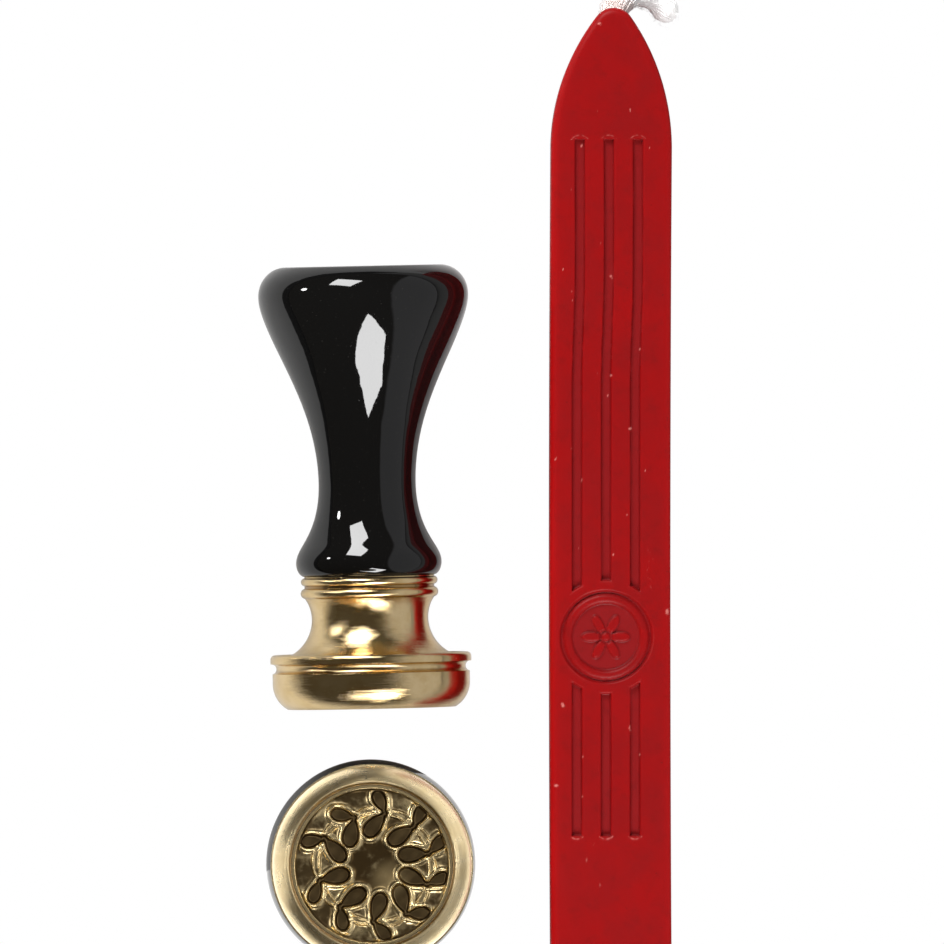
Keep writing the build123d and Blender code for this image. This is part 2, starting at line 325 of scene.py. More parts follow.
def turned(profile, sides=160, loop=False):
    """A profile of (radius, distance) turned once round: x = radius times the cosine of the angle, y =
    radius times its sine, z = distance, for equal steps of the angle."""
    angle = np.linspace(0, 2 * pi, sides, endpoint=False)[None, :]
    radius, along = profile[:, :1], profile[:, 1:]
    points = np.stack([radius * np.cos(angle), radius * np.sin(angle), along + 0 * angle], -1)
    return points.reshape(-1, 3), grid_faces(len(profile), sides, loop, True)


def stamp_place(which):
    """Carries a stamp from its own drawing in millimetres, knob end at zero and axis up, to where it
    rests. Its axis and the seat of its head are those of the joint that the head turns on."""
    joint = next(j for j in frame["joints"] if j["name"] == f"{which}_head_unscrew")
    axis = Vector(joint["axis"]).normalized()
    level = Vector((0, 0, 1)).cross(axis)
    level = level.normalized() if level.length > 0.1 else Vector((1, 0, 0))
    turn = Matrix((level, axis.cross(level), axis)).transposed()
    return Matrix.LocRotScale(Vector(joint["pos_m"]) - axis * recess_at * mm, turn, Vector((mm, mm, mm)))


def make_piece(name, surface, place, finish, body, node, slot, sharp=40, **amounts):
    """A mesh from (points, faces) in millimetres, carried to its place, with its points as drawn kept for
    its finish as the attribute drawing, and each named amount as an attribute of its own."""
    points, faces = surface
    mesh = bpy.data.meshes.new(name)
    mesh.from_pydata(points.tolist(), [], faces.tolist() if hasattr(faces, "tolist") else faces)
    mesh.attributes.new("drawing", "FLOAT_VECTOR", "POINT").data.foreach_set("vector", points.ravel())
    for key, values in amounts.items():
        mesh.attributes.new(key, "FLOAT", "POINT").data.foreach_set("value", np.ravel(values))
    mesh.transform(place)
    shape = bmesh.new()
    shape.from_mesh(mesh)
    bmesh.ops.remove_doubles(shape, verts=shape.verts, dist=1e-7)
    shape.to_mesh(mesh)
    shape.free()
    mesh.polygons.foreach_set("use_smooth", [True] * len(mesh.polygons))
    mesh.set_sharp_from_angle(angle=radians(sharp))
    mesh.materials.append(finish.owner)
    made = bpy.data.objects.new(name, mesh)
    bpy.context.scene.collection.objects.link(made)
    lit["standing" if body.startswith("standing") else "lying"].objects.link(made)
    made.visible_glossy = slot == "brass_die" or not body.startswith("standing")
    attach(made, body)
    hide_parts(node)
    return made


lacquer = Finish("black_lacquer")
drawn = lacquer.node("Attribute", {"attribute_name": "drawing"}, {}, "Vector")
dust = lacquer.noise(7.0, 1.0, 0.4, drawn).rise(0.75, 0.80)
sagging = lacquer.noise(0.35, 1.0, 0.3, drawn) + lacquer.noise(1.6, 1.0, 0.3, drawn) * 0.08
lacquer.principled(
    Base_Color=lacquer.mix(dust, (0.0045, 0.0044, 0.0044, 1), (0.035, 0.033, 0.03, 1)),
    Roughness=0.035 + dust * 0.2,
    Normal=lacquer.bump(sagging, 0.000035),
)

knob = rounded((knob_flat_radius, knob_height), (knob_radius - knob_flat_radius, knob_height), -90, 0, 40)
knob_side, waist, bulge_side = (knob_radius, knob_height), (waist_radius, waist_at), (bulge_radius, bulge_at)
taper = flowing((knob_side, (9.9, 5.41), (8.157, 9.41), (5.77, 15.39), waist))
flare = flowing((waist, (5.42, 25.4), (6.37, 27.4), bulge_side))
seat = rounded((bulge_radius - bulge_round, bulge_at), (bulge_round, bulge_drop), 0, 90)
hole = [
    (spigot_hole_radius, seat_at), (spigot_hole_radius, counterbore_at), (insert_radius, counterbore_at),
    (insert_radius, bore_end_at), (0, drill_tip_at),
]
knob_end = [(0, 0), (knob_flat_radius - 0.4, 0)]
handle_profile = eased(np.vstack([knob_end, knob, taper, flare, seat, hole]), broken_edge)
for which in ("lying", "standing"):
    make_piece(
        f"{which}_lacquered_handle", turned(handle_profile), stamp_place(which), lacquer,
        f"{which}_stamp_handle", f"{which}_handle", "lacquer",
    )


# ---- Inserts ----
# A short brass tube with the thread cut inside it is pressed into the hole of each handle. Its CAD shape
# is shown as it is, because only its end can be seen, and only when the head is unscrewed.
inner_brass = Finish("machined_brass")
scored = inner_brass.noise(900.0, 3.0, 0.7)
inner_brass.principled(
    Base_Color=inner_brass.mix(scored, (0.50, 0.37, 0.17, 1), (0.70, 0.55, 0.29, 1)),
    Metallic=1.0,
    Roughness=0.22 + scored * 0.15,
)
for which in ("lying", "standing"):
    insert = frame["nodes"][f"{which}_insert"]
    insert.data.materials.clear()
    insert.data.materials.append(inner_brass.owner)
    lit[which].objects.link(insert)


# ---- Collars ----
# Between handle and head sits a collar turned from pale brass and polished: two beads, a deep cove and a
# foot that flares out into the recess of the head. A spigot on its top centres it in the handle.
bore_radius, spigot_radius, spigot_end_at = 2.04, 4.5, seat_at - 0.9
neck_radius, cove_radius, foot_radius = 6.45, 5.79, 8.7
upper_bead, lower_bead = (6.8, seat_at + 0.1, 0.8), (6.85, seat_at + 1.15, 1.0)  # radius, start, width
cove_at, foot_edge_at = seat_at + 4.25, recess_at - 0.55


def below_neighbours(profile, reach=0.45):
    """How deep each point of a profile lies in a groove: the mean radius of its neighbours, weighted by a
    bell curve of their distance over the reach, less its own radius."""
    apart = np.hypot(*(profile[:, None] - profile[None, :]).transpose(2, 0, 1))
    length = np.hypot(*np.gradient(profile, axis=0).T)
    outside = profile[None, :, 0] > 5
    weight = np.exp(-((apart / reach) ** 2)) * length * outside
    return np.clip(weight @ profile[:, 0] / weight.sum(1) - profile[:, 0], 0, None)


def turned_brass(name, polish, hairline_depth, clean, clouded):
    """Brass off the lathe: hairlines run round the piece, with broader tool marks among them, so what it
    mirrors is drawn out along its axis. Handling has clouded it here and there and left a few pits. The
    bottoms of its grooves are painted darker: painted shade, with some tarnish."""
    brass = Finish(name)
    drawn = brass.node("Attribute", {"attribute_name": "drawing"}, {}, "Vector")
    part_x, part_y, part_z = (brass.node("SeparateXYZ", {}, {"Vector": drawn}, axis) for axis in "XYZ")
    out = (part_x * part_x + part_y * part_y) ** 0.5
    tool_path = brass.node("CombineXYZ", {}, {"X": out, "Y": part_z, "Z": 0.0})
    tool_marks = brass.noise(6.0, 3.0, 0.6, tool_path)
    hairlines = brass.noise(42.0, 2.0, 0.6, tool_path)
    cloudy = brass.noise(0.55, 4.0, 0.6, drawn)
    pits = brass.noise(6.5, 2.0, 0.5, drawn).rise(0.70, 0.78)
    groove = brass.node("Attribute", {"attribute_name": "groove"}, {}, "Fac")
    # the bottoms of the grooves are darkened: painted shade, with some tarnish
    groove_shade_and_tarnish = (groove + (cloudy - 0.5) * 0.06).rise(0.02, 0.13) * 0.75
    handled = brass.mix(cloudy.rise(0.35, 0.7), clean, clouded)
    brass.principled(
        Base_Color=brass.mix(groove_shade_and_tarnish, handled, (0.30, 0.165, 0.055, 1)),
        Metallic=1.0,
        Roughness=polish + cloudy * 0.07 + tool_marks * 0.05 + pits * 0.2,
        Normal=brass.bump(hairlines + tool_marks * 0.35 - pits * 0.5, hairline_depth),
    )
    return brass


def bead(radius, start, width):
    """A half-round bead on the neck: the circle through its two ends and its crown."""
    proud = radius - neck_radius
    bend = (proud**2 + width**2 / 4) / (2 * proud)
    half = np.degrees(np.arcsin(width / 2 / bend))
    return rounded((radius - bend, start + width / 2), (bend, bend), -half, half, 12)


cove_start = (neck_radius, lower_bead[1] + lower_bead[2])
flare_point = (cove_radius + (foot_radius - cove_radius) * 0.39, cove_at + (foot_edge_at - cove_at) * 0.74)
collar_profile = eased(
    np.vstack([
        [(bore_radius, spigot_end_at), (spigot_radius, spigot_end_at), (spigot_radius, seat_at)],
        [(neck_radius, seat_at)],
        bead(*upper_bead),
        bead(*lower_bead),
        flowing((cove_start, (cove_radius, cove_at)), leave=(-0.6, 0.8)),
        flowing(((cove_radius, cove_at), flare_point, (foot_radius, foot_edge_at)), reach=(1, 0.12)),
        [(foot_radius, recess_at), (bore_radius, recess_at)],
    ]),
    broken_edge,
    loop=True,
)
collar_sides = 160
collar_groove = below_neighbours(collar_profile).repeat(collar_sides)
# the lying stamp is polished, and the standing one is left satin
brasses = {
    "lying": turned_brass("polished_brass", 0.05, 0.000011, (0.87, 0.665, 0.365, 1), (0.78, 0.57, 0.28, 1)),
    "standing": turned_brass("satin_brass", 0.22, 0.000012, (0.86, 0.70, 0.42, 1), (0.78, 0.61, 0.33, 1)),
}
for which in ("lying", "standing"):
    make_piece(
        f"{which}_turned_collar", turned(collar_profile, collar_sides, loop=True), stamp_place(which),
        brasses[which], f"{which}_stamp_collar", f"{which}_collar", "brass", groove=collar_groove,
    )


# ---- Heads ----
# The head is turned from the same brass: a lip that stands up round the collar's foot, a round groove, a
# short straight side and a rim that arches over to the pocket where the die is pressed in.
stud_radius, stud_seat_at = 2.0, recess_at + 2.25
lip_inner, lip_outer, lip_top_at = 9.1, 10.0, recess_at - 0.8
lip_round = (lip_outer - lip_inner) / 2
lip_side_at = lip_top_at + lip_round
groove_at, body_at, corner_at = recess_at + 0.1, recess_at + 1.1, recess_at + 2.1
body_radius, groove_floor = 9.82, 9.42
face_at = recess_at + 4.65
land_outer, land_inner, pocket_radius = 8.35, 8.25, 8.0
die_radius, die_thickness = 7.97, 1.2
pocket_at = face_at - 0.5 - die_thickness


def three_point(a, b, c, steps=14):
    """The arc from a through b to c, on the circle that has all three points on it."""
    (ax, ay), (bx, by), (cx, cy) = a, b, c
    twice = 2 * (ax * (by - cy) + bx * (cy - ay) + cx * (ay - by))
    sa, sb, sc = ax**2 + ay**2, bx**2 + by**2, cx**2 + cy**2
    middle_x = (sa * (by - cy) + sb * (cy - ay) + sc * (ay - by)) / twice
    middle_y = (sa * (cx - bx) + sb * (ax - cx) + sc * (bx - ax)) / twice
    middle = np.array([middle_x, middle_y])
    start, via, end = (np.arctan2(*(np.array(q) - middle)[::-1]) for q in (a, b, c))
    turn = (via - start + pi) % (2 * pi) - pi
    end = start + np.sign(turn) * ((np.sign(turn) * (end - start)) % (2 * pi))
    radii = (np.hypot(*(np.array(a) - middle)),) * 2
    return rounded(middle, radii, np.degrees(start), np.degrees(end), steps)


rim_bend = ((face_at - corner_at) ** 2 + (body_radius - land_outer) ** 2) / (2 * (body_radius - land_outer))
rim_end = np.degrees(np.arcsin((face_at - corner_at) / rim_bend))
head_profile = eased(
    np.vstack([
        [(0, stud_seat_at), (stud_radius, stud_seat_at), (stud_radius, recess_at), (lip_inner, recess_at)],
        three_point((lip_inner, lip_side_at), (lip_inner + lip_round, lip_top_at), (lip_outer, lip_side_at)),
        three_point((lip_outer, groove_at), (groove_floor, groove_at + 0.5), (body_radius, body_at), 20),
        rounded((body_radius - rim_bend, corner_at), (rim_bend, rim_bend), 0, rim_end, 36),
        [(land_inner, face_at), (pocket_radius, face_at - 0.25), (pocket_radius, pocket_at), (0, pocket_at)],
    ]),
    0.05,
)
head_sides = 192
head_groove = below_neighbours(head_profile)
# the step down to the die gets the painted groove shade and tarnish too
head_groove[(abs(head_profile[:, 0] - 8.1) < 0.13) & (head_profile[:, 1] > face_at - 0.4)] = 0.2
for which in ("lying", "standing"):
    make_piece(
        f"{which}_turned_head", turned(head_profile, head_sides), stamp_place(which), brasses[which],
        f"{which}_stamp_head", f"{which}_head", "brass", groove=head_groove.repeat(head_sides),
    )


# ---- Dies ----
# The die is a disc of cast brass with a wreath cut into it: ten pairs of leaves on a ribbon stem, each
# leaf a hollow with a thin raised outline. Its hollows keep a dark patina and the ridges are rubbed bright.
field_radius, field_drop = 7.52, 0.30
# each pair of leaves: its place round the wreath and the lean of its inner and outer leaf, in degrees,
# and its distance from the middle
leaf_pairs = np.array([
    (76, 27, 37, 5.33), (110, 32, 60, 5.04), (150, 19, 41, 5.40), (196, 2, 53, 5.33), (232, 19, 47, 5.15),
    (271, 19, 42, 5.55), (305, 19, 58, 5.87), (341, 6, 41, 5.74), (372, 9, 33, 5.70), (403, 9, 20, 5.63),
], float)
inner_leaf, outer_leaf, join_radius = (3.05, 0.84), (2.45, 0.70), 0.28  # length, half width
leaf_melt, hollow_depth, hollow_slope = 0.13, 0.27, 0.26
ridge_height, ridge_at, ridge_inner, ridge_outer = 0.24, 0.15, 0.15, 0.18
stem_height, stem_half, stem_line, stem_bow = 0.24, 0.31, 0.14, 0.20
ribbon_height, ribbon_half = 0.10, 0.42
# the waves of the uneven field: how close they lie, which way they run and how high they are
field_waves = ((0.8, 0.4, 0.03), (1.7, 1.7, 0.025), (2.9, 2.9, 0.018), (4.1, 4.3, 0.014), (5.2, 5.5, 0.010))


def leaf_edge(x, y, heading, length, half_width):
    """How far a point is outside a leaf's outline, less than zero inside. Along the leaf, u runs from 0
    at the foot to 1 at the round end, and the square of the half width there is 6.07 u^1.75 (1 - u), in
    shares of the widest. The distance is the outline's equation over the length of its gradient."""
    u = (x * np.cos(heading) + y * np.sin(heading)) / length
    v = y * np.cos(heading) - x * np.sin(heading)
    swell, foot = 6.07 * half_width**2, np.clip(u, 0, None) ** 0.75
    level = v**2 - swell * foot * np.clip(u, 0, None) * (1 - u)
    gradient = np.hypot(2 * v, swell * foot * (1.75 - 2.75 * u) / length)
    edge = level / np.maximum(gradient, 0.12)
    return np.where(u < 0, np.hypot(u * length, v), edge)


def die_relief(x, y):
    """Height over the die's edge ring, in millimetres. The field lies lower by its drop and is uneven, as
    a cast surface is. The two leaves of a pair and the spot that joins them are one flat hollow, whose
    edge is their soft least distance, -k ln(sum of exp(-distance / k)). A ridge runs round it, a bell
    curve of that distance that falls off more gently on the outside. Between neighbouring pairs the stem
    is a low ribbon with a ridge along each side."""
    radius, angle = np.hypot(x, y), np.arctan2(y, x)
    edge = np.full_like(x, 9.0)
    for place, inner_lean, outer_lean, reach in leaf_pairs * np.r_[[pi / 180] * 3, 1]:
        foot_x, foot_y = x - reach * np.cos(place), y - reach * np.sin(place)
        shapes = (
            leaf_edge(foot_x, foot_y, place + pi - inner_lean, *inner_leaf),
            leaf_edge(foot_x, foot_y, place + outer_lean, *outer_leaf),
            np.hypot(foot_x, foot_y) - join_radius,
        )
        pair = -leaf_melt * np.log(sum(np.exp(-np.clip(shape, -2, 4) / leaf_melt) for shape in shapes))
        edge = np.minimum(edge, pair)
    sunk = np.clip(-edge / hollow_slope, 0, 1)
    hollow = hollow_depth * sunk**2 * (3 - 2 * sunk)
    ridge_width = np.where(edge < ridge_at, ridge_inner, ridge_outer)
    ridge = ridge_height * np.exp(-(((edge - ridge_at) / ridge_width) ** 2))
    stem, ribbon = np.zeros_like(x), np.zeros_like(x)
    around, reaches = np.radians(leaf_pairs[:, 0]), leaf_pairs[:, 3]
    for start, end, low, high in zip(around, np.roll(around, -1), reaches, np.roll(reaches, -1)):
        share = ((angle - start) % (2 * pi)) / ((end - start) % (2 * pi))
        inside = np.clip(share, 0, 1)
        bow = np.sin(pi * inside)
        off = radius - (low + (high - low) * inside) - stem_bow * bow
        side = np.abs(off) - stem_half * bow**0.5
        stem = np.maximum(stem, stem_height * (share < 1) * bow**0.2 * np.exp(-((side / stem_line) ** 2)))
        flat = np.exp(-((off / ribbon_half) ** 4))
        ribbon = np.maximum(ribbon, ribbon_height * (share < 1) * bow**0.5 * flat)
    uneven = sum(size * np.sin(k * (x * np.cos(a) + y * np.sin(a)) + a * 7) for k, a, size in field_waves)
    calm = 0.35 + 0.65 * np.clip((radius - 1.6) / 1.5, 0, 1)
    relief = -field_drop + uneven * calm - hollow
    relief = relief + np.where(edge > 0, np.maximum(ridge, np.maximum(stem, ribbon)), ridge)
    within = 1 - np.clip((radius - field_radius + 0.22) / 0.2, 0, 1)
    return np.minimum(-field_drop + (relief + field_drop) * within, -0.05)


die_sides, leaf_rings = 580, 132
top_at = pocket_at + die_thickness
ring_radii = np.r_[0, 0.4, 0.8, 1.15, 1.45, 1.7, np.linspace(1.9, field_radius, leaf_rings)]
angle = np.linspace(0, 2 * pi, die_sides, endpoint=False)[None, :]
field_x, field_y = ring_radii[:, None] * np.cos(angle), ring_radii[:, None] * np.sin(angle)
relief = die_relief(field_x, field_y)
field_bevel = 0.12
edge_profile = eased(
    [
        (field_radius, top_at - field_drop), (field_radius + field_bevel, top_at), (die_radius, top_at),
        (die_radius, pocket_at), (0, pocket_at),
    ],
    0.035,
)[1:]
edge_radius, edge_at = edge_profile[:, :1], edge_profile[:, 1:]
# the rings run from the axis at the back, up the edge and in to the middle of the field
die_x = np.vstack([(edge_radius * np.cos(angle))[::-1], field_x[::-1]])
die_y = np.vstack([(edge_radius * np.sin(angle))[::-1], field_y[::-1]])
die_z = np.vstack([(edge_at + 0 * angle)[::-1], (top_at + relief)[::-1]])
die_surface = (
    np.stack([die_x, die_y, die_z], -1).reshape(-1, 3),
    grid_faces(len(die_z), die_sides, False, True),
)
die_depth = np.clip((top_at - die_z) / 0.6, 0, 1)
die_depth[np.hypot(die_x, die_y) > die_radius - 0.05] = 0.7  # the crack round the die
# the patina is thinner in the band of the wreath than in the middle
die_worn = np.exp(-(((np.hypot(die_x, die_y) - 5.2) / 2.4) ** 6))

die_brass = Finish("patinated_brass")
drawn = die_brass.node("Attribute", {"attribute_name": "drawing"}, {}, "Vector")
depth = die_brass.node("Attribute", {"attribute_name": "depth"}, {}, "Fac")
worn = die_brass.node("Attribute", {"attribute_name": "worn"}, {}, "Fac")
grime = die_brass.noise(1.8, 3.0, 0.55, drawn) * 0.6 + die_brass.noise(0.33, 2.0, 0.5, drawn) * 0.9
dark = (depth - worn * 0.155 + (grime - 0.765) * 0.7).rise(0.10, 0.46) * (1 - worn * 0.04)
# a lighter patch of the patina, down and to the right of the middle, is a painted reflection of light on the
# cast field
from_painted_light = die_brass.node("VectorMath", {"operation": "DISTANCE"}, {0: drawn, 1: (1.7, -1.3, top_at)}, "Value")
painted_light_patch = 1 - from_painted_light.rise(0.5, 2.4)
patina = die_brass.mix(painted_light_patch * 0.8, (0.080, 0.050, 0.020, 1), (0.42, 0.31, 0.15, 1))
fine = die_brass.noise(14.0, 3.0, 0.6, drawn)
die_brass.principled(
    Base_Color=die_brass.mix(dark, (0.88, 0.69, 0.37, 1), patina),
    Metallic=1.0,
    Roughness=0.20 + dark * 0.14 + fine * 0.06,
    Normal=die_brass.bump(fine, 0.000008, 0.6),
)
for which in ("lying", "standing"):
    make_piece(
        f"{which}_wreath_die", die_surface, stamp_place(which), die_brass,
        f"{which}_stamp_head", f"{which}_die", "brass_die", sharp=60, depth=die_depth, worn=die_worn,
    )


# ---- Studs ----
# A length of 4 mm screwed steel rod is fixed in the head. It passes through the collar and screws into
# the insert, which is what holds a stamp together.
thread_pitch, thread_depth = 0.7, 0.42
stud_tip_at, chamfer = 26.4, 0.35


def stud_surface(sides=72, steps=18):
    """A rod whose radius falls from the crest by the thread's depth times a wave: at height z and angle
    a, the wave is 1 in the groove and 0 on the crest, at z / pitch - a / (2 pi) turns."""
    along = np.arange(stud_tip_at, stud_seat_at, thread_pitch / steps)[:, None]
    angle = np.linspace(0, 2 * pi, sides, endpoint=False)[None, :]
    turns = along / thread_pitch - angle / (2 * pi)
    wave = np.clip(1.25 * (1 - np.abs(2 * (turns % 1) - 1)) - 0.125, 0, 1)
    radius = np.minimum(stud_radius - thread_depth * wave, stud_radius - chamfer + (along - stud_tip_at))
    rings = np.vstack([0 * angle, radius, 0 * angle])
    height = np.vstack([along[:1], along, along[-1:]]) + 0 * angle
    points = np.stack([rings * np.cos(angle), rings * np.sin(angle), height], -1)
    return points.reshape(-1, 3), grid_faces(len(rings), sides, False, True)


steel = Finish("screwed_steel")
drawn = steel.node("Attribute", {"attribute_name": "drawing"}, {}, "Vector")
worn = steel.noise(1.6, 4.0, 0.6, drawn)
steel.principled(
    Base_Color=steel.mix(worn, (0.42, 0.43, 0.44, 1), (0.62, 0.62, 0.61, 1)),
    Metallic=1.0,
    Roughness=0.24 + worn * 0.18,
)
for which in ("lying", "standing"):
    make_piece(
        f"{which}_threaded_stud", stud_surface(), stamp_place(which), steel,
        f"{which}_stamp_head", f"{which}_stud", "steel",
    )


# ---- Wax stick ----
# The stick of sealing wax is poured into an open mould with its face down: a pointed end, three sunk lines
# and a ringed roundel. The face is satin, with pale flash and crumbs of wax where the mould let go.
stick_length, stick_height, stick_bow, stick_round = 100.0, 10.0, 0.15, 0.7
tip_length, nose_half, nose_length, tip_lean = 14.0, 1.7, 0.85, 0.25
shoulder = stick_half_width - nose_half
ogive_radius = ((tip_length - nose_length) ** 2 + shoulder**2) / (2 * shoulder)
nose_radius = (nose_half**2 + nose_length**2) / (2 * nose_length)
pattern_offset, line_pitch, line_half, line_depth, line_lean = -0.55, 2.89, 0.475, 0.5, 0.3
lines_top, lines_end = 13.1, stick_length - 17.6
roundel_at = 62.6
moat_outer, moat_inner, floor_radius = 4.595, 4.195, 3.395
lines_clear, line_wall = moat_outer + 1.05, 0.06
moat_depth, ring_dome, floor_depth = 0.36, 0.12, 0.35
petal_length, petal_height, eye_height = 2.55, 0.24, 0.26


def stick_half(s):
    """Half the width at distance s from the tip: the nose's circle, then the ogive's, then straight."""
    nose = np.sqrt(np.clip(2 * nose_radius * s - s**2, 0, None))
    ogive = stick_half_width - ogive_radius + np.sqrt(ogive_radius**2 - np.clip(tip_length - s, 0, None) ** 2)
    return np.where(s < nose_length, nose, ogive)


def stick_middle(s):
    """The stick's middle line at distance s: bowed to the left along a parabola over its straight length,
    and bent to the right along another towards its point."""
    half = (stick_length - tip_length) / 2
    bow = np.clip(1 - ((s - tip_length - half) / half) ** 2, 0, None)
    return tip_lean * np.clip(1 - s / tip_length, 0, None) ** 2 - stick_bow * bow


def step(value, low, high):
    """0 below low and 1 above high, smooth between."""
    t = np.clip((value - low) / (high - low), 0, 1)
    return t * t * (3 - 2 * t)


def edge_distance(x, s):
    """How far a point of the face is inside the stick's outline."""
    v = np.abs(x - stick_middle(s))
    tip_part = np.clip(tip_length - s, 0, None)
    side = ogive_radius - np.hypot(v + ogive_radius - stick_half_width, tip_part)
    nose = nose_radius - np.hypot(v, s - nose_radius)
    return np.where((s < nose_radius) & (v < 1.333 * (nose_radius - s)), np.minimum(nose, side), side)


def moulded_face(x, s):
    """Depth below the plain face and how pale the wax is, for arrays of points. Lines and moat are sunk
    with walls a tenth of a millimetre wide, and the lines stray to the right near the tip. The ring is
    domed, and a six-petalled rosette stands on the roundel's floor. Flash is a thin proud line just
    outside the ends of the lines and round the moat, and one short crooked line by the right edge."""
    off = x - pattern_offset - line_lean * (1 - step(s, 26, 38))
    out, turn = np.hypot(off, s - roundel_at), np.arctan2(s - roundel_at, off)
    nearest = off - line_pitch * np.clip(np.round(off / line_pitch), -1, 1)
    along = step(s, lines_top - line_wall, lines_top + line_wall) * step(lines_end - s, -line_wall, line_wall)
    along = along * step(out, lines_clear - line_wall, lines_clear + line_wall)
    lines = line_depth * along * (1 - step(np.abs(nearest), line_half - 0.07, line_half + 0.05))
    across_moat = np.clip((out - (moat_inner + moat_outer) / 2) / 0.27, -1, 1)
    moat = moat_depth * np.cos(across_moat * pi / 2) ** 1.5
    across_ring = np.clip(((out - (moat_inner + floor_radius) / 2) / 0.4) ** 2, 0, 1)
    dome = ring_dome * across_ring * (out < moat_inner + 0.02) * (out > floor_radius - 0.02)
    floor = floor_depth * (1 - step(out, floor_radius - 0.12, floor_radius + 0.05))
    petal = np.cos(3 * turn) ** 2
    petals = petal_height * step(petal_length * petal**0.45 - out, 0.0, 0.30) * step(out, 0.50, 0.80)
    rosette = petals + eye_height * (1 - step(out, 0.30, 0.52))
    arch = 0.42 - 0.55 * nearest**2
    ragged = 0.65 + 0.35 * np.sin(9.1 * x + 1.3) * np.sin(3.7 * x + 0.4)
    ends = 1.2 * ragged * np.exp(-(((lines_top - s - arch) / 0.10) ** 2)) * (np.abs(nearest) < 0.80)
    ends += 1.6 * ragged * np.exp(-(((s - lines_end - arch + 0.1) / 0.12) ** 2)) * (np.abs(nearest) < 0.70)
    by_moat = np.exp(-(((out - lines_clear + 0.16) / 0.09) ** 2))
    ends += 0.6 * by_moat * (np.abs(nearest) < 0.7) * (np.abs(off) < 4)
    ring_flash = np.exp(-(((out - moat_outer - 0.16) / 0.09) ** 2)) * (0.35 + 0.35 * np.sin(3 * turn + 1.0))
    crawl = 3.75 + 0.35 * np.sin(2.1 * s) + 0.22 * np.sin(5.3 * s + 1.2)
    crawl_length = step(s, 53.2, 53.6) * step(58.4 - s, 0, 0.4) * (0.5 + 0.5 * np.sin(7 * s))
    crawl_line = np.exp(-(((x - crawl) / 0.08) ** 2)) * crawl_length
    flash = ends + np.clip(ring_flash, 0, 1) + crawl_line
    depth = lines + moat + dome + floor - rosette * (out < floor_radius) - 0.045 * flash
    return depth, 0.38 * np.clip(flash, 0, 1.2)


def wax_surface():
    """The stick as rows across it, from the tip to the end. Each row goes up the right wall, over the
    rounded edge, across the face and down the left wall, and the underside closes it."""
    rows = np.r_[
        0, np.geomspace(0.012, 1.0, 15), np.arange(1.18, 12.4, 0.19), np.arange(12.5, 13.4, 0.06),
        np.arange(13.5, 56.6, 0.22), np.arange(56.6, 68.6, 0.092), np.arange(68.6, 82, 0.22),
        np.arange(82.1, 83.1, 0.07), np.arange(83.3, 99.6, 0.5), 99.7, 99.88, 99.97, 100.0,
    ]
    rolled = (1 - np.cos(np.linspace(0, pi / 2, 9)[:-1])) * stick_round / stick_half_width
    flat = 1 - stick_round / stick_half_width
    share = np.r_[1 - rolled, np.linspace(flat, -flat, 112), rolled[::-1] - 1]
    s = rows[:, None]
    x = stick_middle(s) + stick_half(s) * share[None, :]
    inward = np.clip(edge_distance(x, s), 0, None)
    inward[:, [0, -1]] = 0
    fall = np.clip(stick_round - inward, 0, None)
    z = stick_height - stick_round + np.sqrt(stick_round**2 - fall**2)
    end_round = np.clip((s - (stick_length - 0.3)) / 0.3, 0, 1)
    sunk, pale = moulded_face(x, s)
    for crumb_x, crumb_s, size, slant in crumbs:
        aside, down = x - crumb_x, s - crumb_s
        long, wide = aside * np.cos(slant) + down * np.sin(slant), down * np.cos(slant) - aside * np.sin(slant)
        spot = np.exp(-(((long / 1.7) ** 2 + wide**2 + 0.6 * long * wide * np.sin(30 * long)) / size**2))
        sunk, pale = sunk - 0.35 * size * spot, np.maximum(pale, spot)
    face_share = step(inward, 0.15, 0.5)
    settle = 0.018 * (1 + np.sin(0.9 * x + 0.13 * s) * np.sin(0.21 * s + 0.6))
    settle += 0.008 * (1 + np.sin(1.9 * x - 0.43 * s))
    z = np.minimum(z - (sunk + settle) * face_share - 0.25 * end_round**2, stick_height)
    wall = np.array([0, 0.12, 1.5, 3.2, 5.0, 6.8, 8.1])[None, :]
    wall_x = stick_half(s) - 0.12 * (1 - np.clip(wall / 0.12, 0, 1))
    wall_out, wall_z = np.maximum(wall_x, 0), wall + 0 * s
    all_x = np.hstack([stick_middle(s) + wall_out, x, stick_middle(s) - wall_out[:, ::-1]])
    all_z = np.hstack([wall_z, z, wall_z[:, ::-1]])
    # a last ring just inside the edge of the end face keeps that face flat
    all_x, all_z = np.vstack([all_x, 0.98 * all_x[-1]]), np.vstack([all_z, 0.1 + 0.98 * all_z[-1]])
    points = np.stack([all_x, -(np.r_[rows, stick_length][:, None] + 0 * all_x), all_z], -1).reshape(-1, 3)
    columns = all_x.shape[1]
    faces = grid_faces(len(all_x), columns, False, True).tolist()
    faces.append(list(range((len(all_x) - 1) * columns, len(all_x) * columns)))
    # the face is painted brighter near its edges and a little towards its left side: painted light coming
    # through the thin wax at the edges and falling from the left
    painted_edge_glow = np.exp(-inward / 0.45) + 0.25 * np.exp(-np.abs(x / stick_half_width + 1))
    # each amount is nothing on the walls and on the end
    bare = ((0, 1), (wall.size, wall.size))
    amounts = [np.pad(on_face * (s < stick_length), bare) for on_face in (pale, sunk * face_share, painted_edge_glow)]
    return (points, faces), *amounts


luck = np.random.default_rng(7)
line_xs = pattern_offset + line_pitch * np.array([-1, 0, 1])
